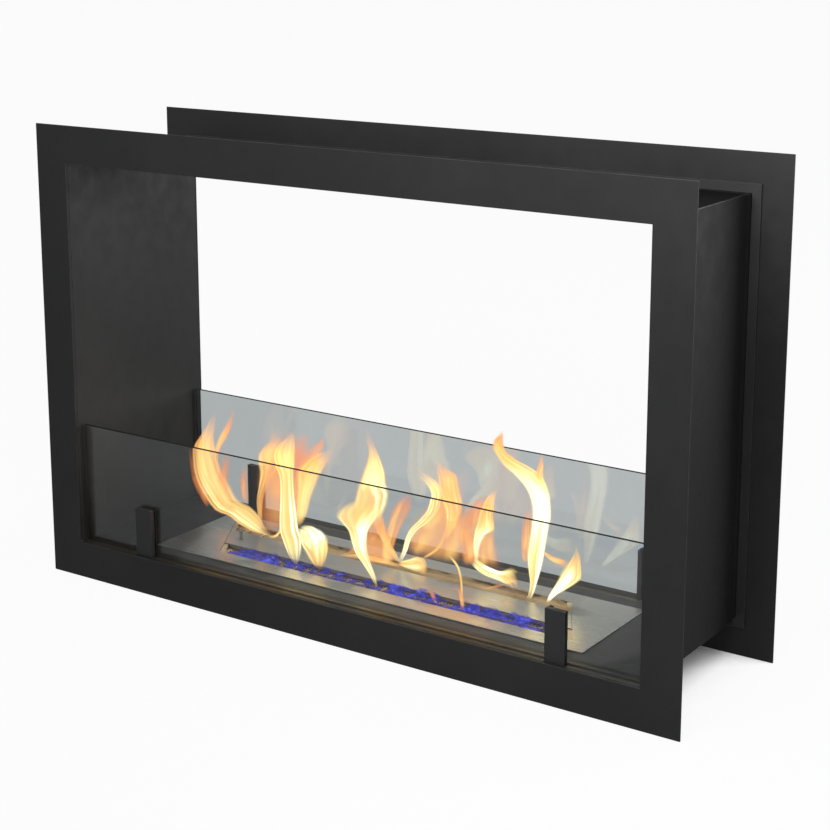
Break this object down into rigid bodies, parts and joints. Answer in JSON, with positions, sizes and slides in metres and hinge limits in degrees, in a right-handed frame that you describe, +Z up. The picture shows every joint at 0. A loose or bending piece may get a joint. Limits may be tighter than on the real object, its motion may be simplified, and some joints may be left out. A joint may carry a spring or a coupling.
{
  "type": "double-sided fireplace",
  "caption": "Wide see-through ethanol fireplace for a wall opening: black flanged frames front and rear, open fire chamber, glass guards, steel burner tray with slots.",
  "frame": {"origin": "centre of the footprint, on the level of the lower edges of both frames", "axes": "+X along the long side, +Y from the front frame to the rear frame, +Z up"},
  "size_m": [1, 0.27, 0.65],
  "materials": {
    "black_coat": "satin black powder coat",
    "black_gloss": "gloss black enamel",
    "stainless": "brushed",
    "heat_dulled_steel": "dull, heat toned",
    "pane_glass": "clear tempered, polished edges",
    "ceramic_fibre": "matte, porous"
  },
  "bodies": {
    "shell": {"front_frame": "black_coat", "front_collar": "black_coat", "casing_left": "black_coat", "casing_right": "black_coat", "casing_top": "black_coat", "casing_bottom": "black_coat", "liner_left": "black_coat", "liner_right": "black_coat", "liner_top": "black_coat", "floor_plate": "black_coat", "front_sill": "black_gloss", "rear_sill": "black_gloss", "clip_front_left": "black_coat", "clip_front_right": "black_coat", "clip_rear_left": "black_coat", "clip_rear_right": "black_coat"},
    "rear_trim": {"rear_frame": "black_coat", "rear_collar": "black_coat"},
    "front_pane": {"front_glass": "pane_glass"},
    "rear_pane": {"rear_glass": "pane_glass"},
    "burner": {"burner_plate": "stainless", "burner_tank": "heat_dulled_steel", "core_front": "ceramic_fibre", "core_rear": "ceramic_fibre", "core_grid_front": "heat_dulled_steel", "core_grid_rear": "heat_dulled_steel", "cover_support_left": "heat_dulled_steel", "cover_support_right": "heat_dulled_steel"},
    "cover": {"cover_plate": "stainless", "cover_peg": "stainless"}
  },
  "joints": [
    {"name": "rear_trim_slide", "type": "slide", "parent": "shell", "child": "rear_trim", "axis": [0, 1, 0], "range_m": [0, 0.04]},
    {"name": "front_glass_lift", "type": "slide", "parent": "shell", "child": "front_pane", "axis": [0, 0, 1], "range_m": [0, 0.1]},
    {"name": "rear_glass_lift", "type": "slide", "parent": "shell", "child": "rear_pane", "axis": [0, 0, 1], "range_m": [0, 0.1]},
    {"name": "burner_lift", "type": "slide", "parent": "shell", "child": "burner", "axis": [0, 0, 1], "range_m": [0, 0.1]},
    {"name": "cover_lift", "type": "slide", "parent": "burner", "child": "cover", "axis": [0, 0, 1], "range_m": [0, 0.06]}
  ]
}
